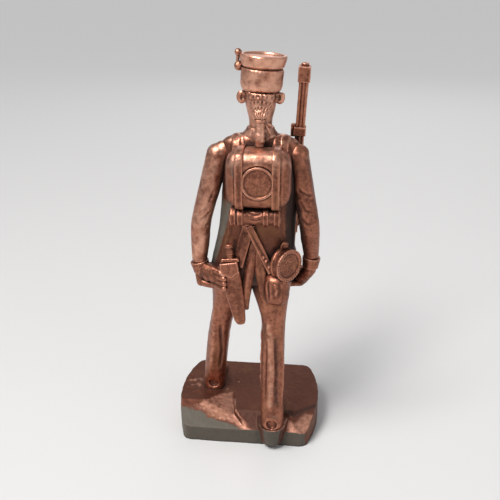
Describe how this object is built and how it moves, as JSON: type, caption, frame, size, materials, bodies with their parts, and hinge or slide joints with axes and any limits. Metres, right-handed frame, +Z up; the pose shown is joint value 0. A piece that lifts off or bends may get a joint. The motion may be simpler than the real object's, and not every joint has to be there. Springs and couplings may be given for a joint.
{
  "type": "toy soldier figure",
  "caption": "Copper-finished cast toy infantryman on the march, with shako, knapsack, canteen, sabre and musket, standing on a low plinth with a broken back edge.",
  "frame": {"origin": "middle of the plinth's flat underside", "axes": "+Z up, +Y the way the soldier faces, +X to the soldier's right"},
  "size_m": [0.0152, 0.0125, 0.04],
  "materials": {
    "cast_copper": "satin copper cast metal with brown patina in the recesses",
    "worn_copper": "satin copper cast metal, rubbed brighter on its raised edges",
    "dark_copper": "satin dark brown patinated copper cast metal"
  },
  "bodies": {
    "root": {"base": "dark_copper", "left_shoe": "cast_copper", "right_shoe": "cast_copper", "left_trouser_leg": "cast_copper", "right_trouser_leg": "cast_copper", "coat_body": "cast_copper", "left_coat_tail": "cast_copper", "right_coat_tail": "cast_copper", "collar": "cast_copper", "left_sleeve": "cast_copper", "right_sleeve": "cast_copper", "left_cuff": "worn_copper", "right_cuff": "worn_copper", "left_hand": "cast_copper", "right_hand": "cast_copper", "head": "cast_copper", "hair": "cast_copper", "queue": "worn_copper", "queue_ribbon": "worn_copper", "shako_body": "cast_copper", "shako_crown": "cast_copper", "shako_peak": "dark_copper", "cockade": "worn_copper", "cockade_loop": "cast_copper", "pompon": "worn_copper", "canteen_belt": "worn_copper", "sabre_belt": "worn_copper", "left_shoulder_strap": "worn_copper", "right_shoulder_strap": "worn_copper", "knapsack": "cast_copper", "knapsack_lid": "worn_copper", "left_flap_strap": "worn_copper", "right_flap_strap": "worn_copper", "blanket_roll": "cast_copper", "roll_straps": "worn_copper", "canteen": "worn_copper", "canteen_stopper": "worn_copper", "stopper_cord": "cast_copper", "haversack": "cast_copper", "scabbard": "worn_copper", "scabbard_frog": "cast_copper", "sabre_grip": "worn_copper", "sabre_guard": "worn_copper", "musket_stock": "cast_copper", "musket_barrel": "worn_copper", "barrel_bands": "worn_copper", "musket_lock": "worn_copper", "trigger_guard": "worn_copper", "ramrod": "worn_copper"}
  },
  "joints": []
}
